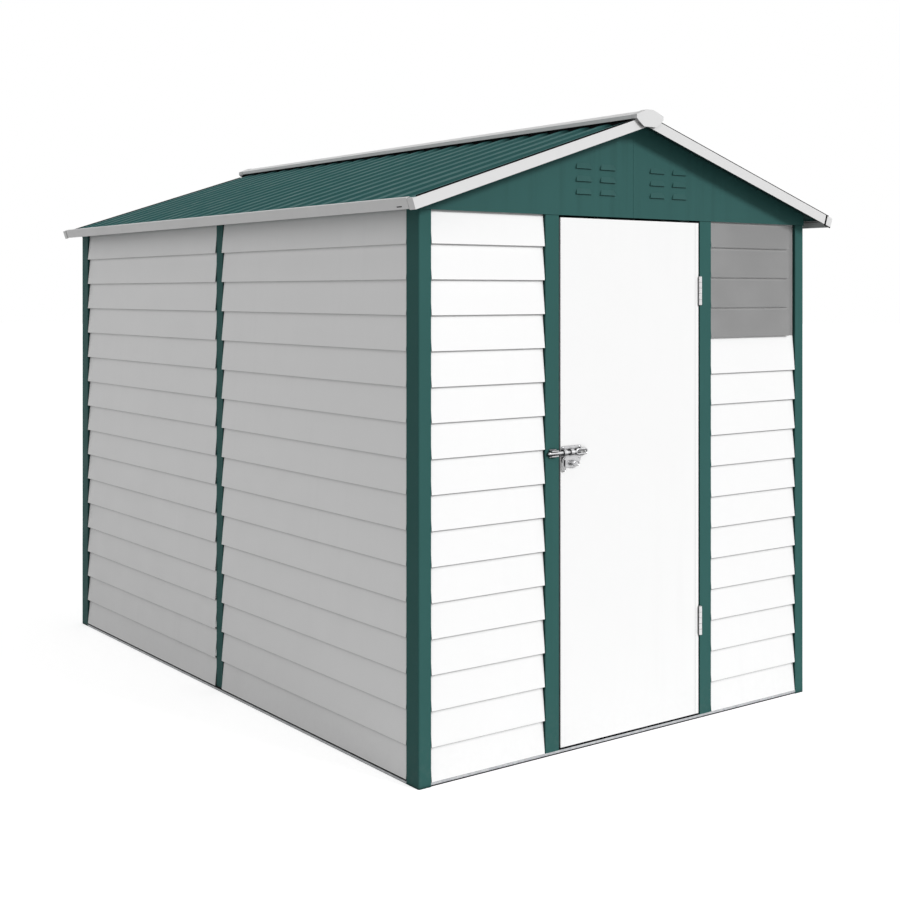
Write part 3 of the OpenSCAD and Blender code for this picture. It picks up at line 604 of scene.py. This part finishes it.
def trim_gap_shade():
    """Black strips in the gaps where the roof trims meet, and under the folded end at the right, as painted shade.
    """
    play, sunk, trim, wide = 0.2 * MM, 0.5 * MM, 2 * MM, 1.2 * MM
    over, under, skin = 1 * MM, 3.5 * MM, 0.1 * MM
    mesh = bmesh.new()
    for place, inward in (("front", 1), ("back", -1)):
        node = "gable_trim_" + place + "_right"
        axes = slope_frame(node)
        down, _, out = axes
        verge = spread(world_points(node), down)[1]
        face_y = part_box(node)[0 if inward > 0 else 1].y
        ends = [point for point in world_points("eave_trim_right") if abs(point.y - face_y) < 0.5 * MM]
        start, end = spread([point for point in ends if point.dot(down) > verge + play], down)
        low, high = spread(ends, out)
        depth = sorted((face_y - inward * sunk, face_y + inward * (trim - play)))
        lip = sorted((face_y - inward * sunk, face_y - inward * skin))
        add_strip(mesh, ((verge + play, start - play), depth, (low + play, high - play)), axes)
        add_strip(mesh, ((verge - wide, start + wide), lip, (low - over, high)), axes)
        add_strip(mesh, ((verge - wide, end - trim), depth, (low - under, low - play)), axes)

        node = "gable_trim_" + place + "_left"
        axes = slope_frame(node)
        down, _, out = axes
        eave = world_points("eave_trim_left")
        low, high = spread(eave, out)
        edge = spread(eave, down)[1]
        wrap_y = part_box(node)[1 if inward > 0 else 0].y
        eave_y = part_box("eave_trim_left")[0 if inward > 0 else 1].y
        depth = sorted((wrap_y + inward * play, eave_y - inward * play))
        if depth[1] - depth[0] > trim:
            add_strip(mesh, ((edge - trim, edge - sunk), depth, (low + play, high - play)), axes)
    shade_piece("trim_gap_shade", mesh)


def eave_slot():
    """Black strip near the front end of the left eave trim, painted as the shade in the opening of a drain slot.
    """
    proud, tall, rounding, near, far = 0.3 * MM, 3 * MM, 0.12 * MM, 31 * MM, 56 * MM
    axes = slope_frame("gable_trim_front_left")
    down, _, out = axes
    points = world_points("eave_trim_left")
    face = spread(points, down)[1]
    low, high = spread(points, out)
    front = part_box("eave_trim_left")[0].y
    middle = low + 0.25 * (high - low)
    mesh = bmesh.new()
    rise = (middle - tall / 2, middle + tall / 2)
    add_strip(mesh, ((face, face + proud), (front + near, front + far), rise), axes)
    shade_piece("eave_slot", mesh, rounding)


def verge_gap_shade():
    """Black beads on the ends of the roof sheets, raised behind the front trims and sunk at the back, as painted
    shade at the trims.
    """
    play, wide, rounding = 0.1 * MM, 4.5 * MM, 0.6 * MM
    cap_gap, eave_gap = 4 * MM, 14 * MM
    mesh = bmesh.new()
    for side in ("left", "right"):
        sheet = surface("roof_sheet_" + side)
        points = world_points("roof_sheet_" + side)
        axes = slope_frame("gable_trim_front_" + side)
        down, _, out = axes
        crest = spread(points, out)[1]
        ridge = -out.x * crest / down.x
        start = ridge + (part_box("ridge_cap")[1].x + cap_gap) / abs(down.x)
        end = spread(points, down)[1] - eave_gap
        middle = (start + end) / 2 * down.x + out.x * crest
        low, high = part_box("roof_sheet_" + side)
        for edge, inward, proud in ((low.y, 1, 6 * MM), (high.y, -1, -2 * MM)):
            above = (middle, edge + inward * wide / 2, high.z + 0.5)
            valley = meets(sheet, above, (0, 0, -1)).dot(out)
            across = sorted((edge + inward * play, edge + inward * wide))
            add_strip(mesh, ((start, end), across, (valley + play, crest + proud)), axes)
    shade_piece("verge_gap_shade", mesh, rounding)


def flange_rivets():
    """Pop rivets inside, where the ends of the siding sheets are fixed to the flanges of the posts."""
    inward = {"front": (0, 1, 0), "back": (0, -1, 0), "left": (1, 0, 0), "right": (-1, 0, 0)}
    places = {wall: [] for wall in inward}
    flange, flange_t, spacing, first, last = 8 * MM, 2 * MM, 200 * MM, 90 * MM, 30 * MM
    for node in frame["nodes"]:
        if not node.startswith("siding_"):
            continue
        wall = node.split("_")[1]
        low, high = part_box(node)
        seat = {"front": high.y, "back": low.y, "left": high.x, "right": low.x}[wall]
        seat += sum(inward[wall]) * flange_t
        z = low.z + first
        while z < high.z - last:
            if wall in ("front", "back"):
                places[wall] += [(x, seat, z) for x in (low.x + flange, high.x - flange)]
            else:
                places[wall] += [(seat, y, z) for y in (low.y + flange, high.y - flange)]
            z += spacing
    for wall, spots in places.items():
        rivets("flange_rivets_" + wall, spots, inward[wall], 3.5 * MM, 1.6 * MM, "shed", "hardware")


# ---------- Stage ----------
FLOOR_RADIUS = 60.0
FLOOR_COLOUR = (0.70, 0.70, 0.70)
FLOOR_GLOW = 0.70
SKY_LEVEL = 0.475
SUN_LEVEL = 2.10
SUN_SIDE = math.radians(20)
SUN_RISE = math.radians(25)
SUN_WIDTH = math.radians(14)
CAMERA_PLACE = (-3.031, -4.379, 1.370)
CAMERA_TURN = math.radians(-36.37)
CAMERA_LENS = 56.10
CAMERA_SHIFT = -0.1741


def seen_directly(tree):
    """1 for rays from the camera, glossy and transmission rays, 0 for diffuse light."""
    path = tree.nodes.new("ShaderNodeLightPath")
    total = path.outputs["Is Camera Ray"]
    for name in ("Is Glossy Ray", "Is Transmission Ray"):
        larger = tree.nodes.new("ShaderNodeMath")
        larger.operation = "MAXIMUM"
        tree.links.new(total, larger.inputs[0])
        tree.links.new(path.outputs[name], larger.inputs[1])
        total = larger.outputs["Value"]
    return total


def make_floor():
    """Pale floor that looks white to the camera and keeps the shadow."""
    mesh = bmesh.new()
    bmesh.ops.create_circle(mesh, cap_ends=True, segments=96, radius=FLOOR_RADIUS)
    data = bpy.data.meshes.new("floor")
    mesh.to_mesh(data)
    mesh.free()
    graph = Graph("floor")
    grain = graph.ramp(graph.noise(4, 3), 0.3, 0.7)
    body = graph.mixed(grain, scaled(FLOOR_COLOUR, 0.995), FLOOR_COLOUR)
    graph.link(body, graph.shader.inputs["Base Color"])
    graph.set(Roughness=0.9, Specular_IOR_Level=0.0, Emission_Color=(1, 1, 1, 1))
    glow = graph.ramp(seen_directly(graph.tree), 0, 1, 0, FLOOR_GLOW)
    graph.link(glow, graph.shader.inputs["Emission Strength"])
    data.materials.append(graph.material)
    floor = bpy.data.objects.new("floor", data)
    bpy.context.scene.collection.objects.link(floor)


def make_sky():
    """Even white light from all round, at full white where it is seen directly."""
    world = bpy.data.worlds.new("studio")
    world.use_nodes = True
    bpy.context.scene.world = world
    tree = world.node_tree
    background = tree.nodes["Background"]
    background.inputs["Color"].default_value = (1, 1, 1, 1)
    level = tree.nodes.new("ShaderNodeMapRange")
    tree.links.new(seen_directly(tree), level.inputs["Value"])
    level.inputs["To Min"].default_value = SKY_LEVEL
    level.inputs["To Max"].default_value = 1.0
    tree.links.new(level.outputs["Result"], background.inputs["Strength"])


def make_sun():
    """One wide soft lamp in front of the door and a little to its right."""
    light = bpy.data.lights.new("key", "SUN")
    light.energy = SUN_LEVEL
    light.angle = SUN_WIDTH
    key = bpy.data.objects.new("key", light)
    bpy.context.scene.collection.objects.link(key)
    level = math.cos(SUN_RISE)
    towards = Vector((math.sin(SUN_SIDE) * level, -math.cos(SUN_SIDE) * level, math.sin(SUN_RISE)))
    key.rotation_euler = towards.to_track_quat("Z", "Y").to_euler()


def make_camera():
    """Level camera in front of the left front corner, shifted down so that upright edges stay upright."""
    camera = bpy.data.cameras.new("camera")
    camera.sensor_width = 36.0
    camera.lens = CAMERA_LENS
    camera.shift_y = CAMERA_SHIFT
    seat = bpy.data.objects.new("camera", camera)
    bpy.context.scene.collection.objects.link(seat)
    seat.location = CAMERA_PLACE
    seat.rotation_euler = (math.radians(90), 0, CAMERA_TURN)
    bpy.context.scene.camera = seat


bpy.context.scene.view_settings.view_transform = "Standard"
make_camera()
dress_frame()
latch_rivets()
hinge_pin_heads()
ridge_shade_strips()
jamb_gap_shade()
door_hems()
gable_seams()
rail_recess_shade()
trim_gap_shade()
eave_slot()
verge_gap_shade()
flange_rivets()
make_floor()
make_sky()
make_sun()
